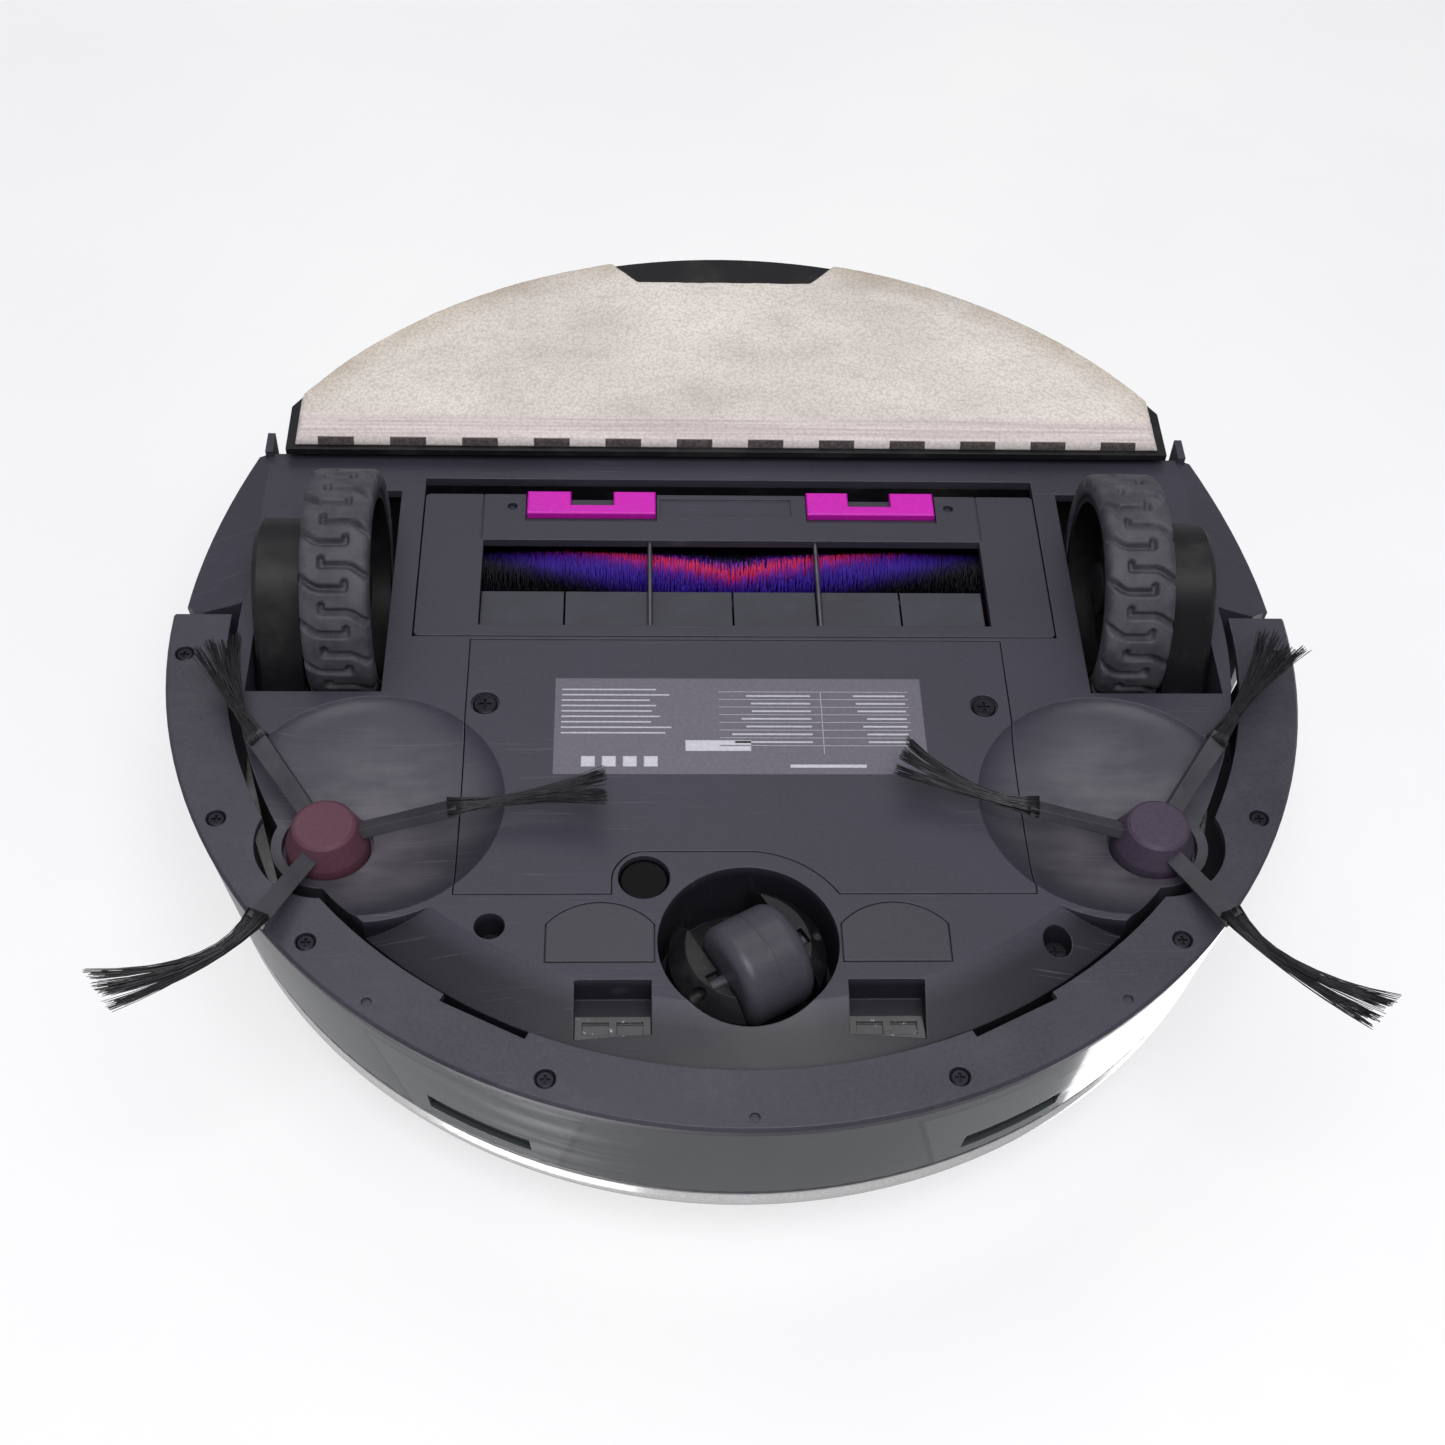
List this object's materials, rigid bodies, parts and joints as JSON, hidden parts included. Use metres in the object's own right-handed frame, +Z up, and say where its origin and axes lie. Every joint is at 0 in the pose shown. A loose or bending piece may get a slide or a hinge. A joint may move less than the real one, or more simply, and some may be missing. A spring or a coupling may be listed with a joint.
{
  "type": "robot vacuum",
  "caption": "Round robot vacuum with sprung drive wheels, swivel caster, side brushes, roller brush under a latched cover, sprung bumper, laser turret and a rear bin with a mop plate.",
  "frame": {"origin": "centre of the round body, on the plane under the hanging drive wheels", "axes": "+Z up through the deck, -Y towards the bumper (driving direction), +X towards the robot's left side"},
  "size_m": [0.34, 0.34, 0.126],
  "materials": {
    "base_plastic": "fine-grain satin",
    "black_plastic": "matte",
    "roller_plastic": "satin, worn",
    "bin_plastic": "satin",
    "bumper_plastic": "fine-grain satin",
    "gloss_band": "high gloss",
    "white_shell": "gloss",
    "turret_plastic": "gloss",
    "button_plastic": "satin",
    "steel": "bright",
    "motor_can": "plated",
    "battery_wrap": "shrink film",
    "board": "lacquered",
    "dark_lens": "gloss",
    "clear_window": "clear",
    "brush_bristle": "nylon bristle",
    "flap_rubber": "satin",
    "latch_plastic": "satin",
    "tyre_rubber": "worn rubber",
    "hub_left": "satin",
    "hub_right": "satin",
    "arm_rubber": "worn rubber",
    "side_bristle": "nylon bristle",
    "mop_fabric": "looped pile",
    "filter_paper": "pleated",
    "belt_rubber": "matte"
  },
  "bodies": {
    "chassis": {"base_chassis": "base_plastic", "battery_door": "base_plastic", "base_screws": "steel", "floor_sensor_lens": "dark_lens", "cliff_sensor_windows": "clear_window", "contact_pads": "base_plastic", "top_cover": "white_shell", "battery_pack": "battery_wrap", "main_board": "board", "fan_housing": "black_plastic", "brush_housing": "black_plastic", "brush_motor": "motor_can", "side_brush_motors": "motor_can", "bumper_switches": "black_plastic", "suspension_springs": "steel", "brush_bearing": "black_plastic", "lidar_base": "white_shell", "lidar_guard": "turret_plastic", "lidar_motor": "motor_can", "lidar_belt": "belt_rubber"},
    "fan": {"fan_impeller": "motor_can"},
    "bumper": {"bumper_shell": "bumper_plastic", "bumper_window": "gloss_band", "bumper_screws": "steel"},
    "main_brush": {"brush_core": "black_plastic", "brush_bristles": "brush_bristle"},
    "brush_cover": {"brush_cover_frame": "base_plastic", "frame_wires": "steel", "brush_flaps": "flap_rubber"},
    "caster": {"caster_fork": "black_plastic"},
    "caster_roller": {"caster_wheel": "roller_plastic"},
    "dust_bin": {"bin_shell": "bin_plastic", "bin_lid": "bin_plastic", "bin_filter": "filter_paper"},
    "mop": {"mop_plate": "black_plastic", "mop_cloth": "mop_fabric"},
    "release_button": {"release_button": "bin_plastic"},
    "lidar_rotor": {"lidar_rotor": "black_plastic"},
    "lidar_pulley": {"lidar_pulley": "motor_can"},
    "power_button": {"power_button": "button_plastic"},
    "home_button": {"home_button": "button_plastic"},
    "side_brush_left": {"side_brush_hub_left": "hub_left", "side_brush_arms_left": "arm_rubber", "side_brush_bristles_left": "side_bristle"},
    "suspension_left": {"swing_arm_left": "black_plastic", "drive_motor_left": "steel"},
    "drive_wheel_left": {"wheel_rim_left": "black_plastic", "tyre_left": "tyre_rubber"},
    "latch_left": {"latch_left": "latch_plastic"},
    "side_brush_right": {"side_brush_hub_right": "hub_right", "side_brush_arms_right": "arm_rubber", "side_brush_bristles_right": "side_bristle"},
    "suspension_right": {"swing_arm_right": "black_plastic", "drive_motor_right": "steel"},
    "drive_wheel_right": {"wheel_rim_right": "black_plastic", "tyre_right": "tyre_rubber"},
    "latch_right": {"latch_right": "latch_plastic"}
  },
  "joints": [
    {"name": "bumper_press", "type": "slide", "parent": "chassis", "child": "bumper", "axis": [0, 1, 0], "range_m": [0, 0.003], "stiffness_N_per_m": 500},
    {"name": "main_brush_spin", "type": "hinge", "parent": "chassis", "child": "main_brush", "pos_m": [0, 0.026, 0.0622], "axis": [1, 0, 0], "continuous": true},
    {"name": "brush_cover_lift", "type": "slide", "parent": "chassis", "child": "brush_cover", "axis": [0, 0, -1], "range_m": [0, 0.02]},
    {"name": "caster_swivel", "type": "hinge", "parent": "chassis", "child": "caster", "pos_m": [0, -0.1148, 0.06], "axis": [0, 0, 1], "continuous": true},
    {"name": "caster_roll", "type": "hinge", "parent": "caster", "child": "caster_roller", "pos_m": [-0.0025, -0.11913, 0.0445], "axis": [-0.866, 0.5, 0], "continuous": true},
    {"name": "bin_slide", "type": "slide", "parent": "chassis", "child": "dust_bin", "axis": [0, 1, 0], "range_m": [0, 0.12]},
    {"name": "mop_lift", "type": "slide", "parent": "dust_bin", "child": "mop", "axis": [0, 0, -1], "range_m": [0, 0.015]},
    {"name": "release_press", "type": "slide", "parent": "dust_bin", "child": "release_button", "axis": [0, -1, 0], "range_m": [0, 0.0025], "stiffness_N_per_m": 400},
    {"name": "lidar_spin", "type": "hinge", "parent": "chassis", "child": "lidar_rotor", "pos_m": [0, 0.03, 0.11], "axis": [0, 0, 1], "continuous": true},
    {"name": "lidar_pulley_spin", "type": "hinge", "parent": "chassis", "child": "lidar_pulley", "pos_m": [0.04, 0.03, 0.098], "axis": [0, 0, 1], "continuous": true},
    {"name": "fan_spin", "type": "hinge", "parent": "chassis", "child": "fan", "pos_m": [-0.045, -0.028, 0.06], "axis": [0, 0, 1], "continuous": true},
    {"name": "power_press", "type": "slide", "parent": "chassis", "child": "power_button", "axis": [0, 0, -1], "range_m": [0, 0.0008], "stiffness_N_per_m": 400},
    {"name": "home_press", "type": "slide", "parent": "chassis", "child": "home_button", "axis": [0, 0, -1], "range_m": [0, 0.0008], "stiffness_N_per_m": 400},
    {"name": "side_brush_spin_left", "type": "hinge", "parent": "chassis", "child": "side_brush_left", "pos_m": [0.116, -0.079, 0.04], "axis": [0, 0, 1], "continuous": true},
    {"name": "suspension_swing_left", "type": "hinge", "parent": "chassis", "child": "suspension_left", "pos_m": [0.136, -0.016, 0.062], "axis": [1, 0, 0], "range_deg": [0, 50], "stiffness_Nm_per_rad": 0.12, "springref_deg": -126.05},
    {"name": "wheel_spin_left", "type": "hinge", "parent": "suspension_left", "child": "drive_wheel_left", "pos_m": [0.117, 0.0105, 0.035], "axis": [1, 0, 0], "continuous": true},
    {"name": "latch_push_left", "type": "slide", "parent": "brush_cover", "child": "latch_left", "axis": [0, -1, 0], "range_m": [0, 0.003], "stiffness_N_per_m": 200},
    {"name": "side_brush_spin_right", "type": "hinge", "parent": "chassis", "child": "side_brush_right", "pos_m": [-0.116, -0.079, 0.04], "axis": [0, 0, 1], "continuous": true},
    {"name": "suspension_swing_right", "type": "hinge", "parent": "chassis", "child": "suspension_right", "pos_m": [-0.136, -0.016, 0.062], "axis": [1, 0, 0], "range_deg": [0, 50], "stiffness_Nm_per_rad": 0.12, "springref_deg": -126.05},
    {"name": "wheel_spin_right", "type": "hinge", "parent": "suspension_right", "child": "drive_wheel_right", "pos_m": [-0.117, 0.0105, 0.035], "axis": [1, 0, 0], "continuous": true},
    {"name": "latch_push_right", "type": "slide", "parent": "brush_cover", "child": "latch_right", "axis": [0, -1, 0], "range_m": [0, 0.003], "stiffness_N_per_m": 200}
  ],
  "couplings": [
    {"joint": "lidar_pulley_spin", "follows": "lidar_spin", "ratio": 3}
  ]
}
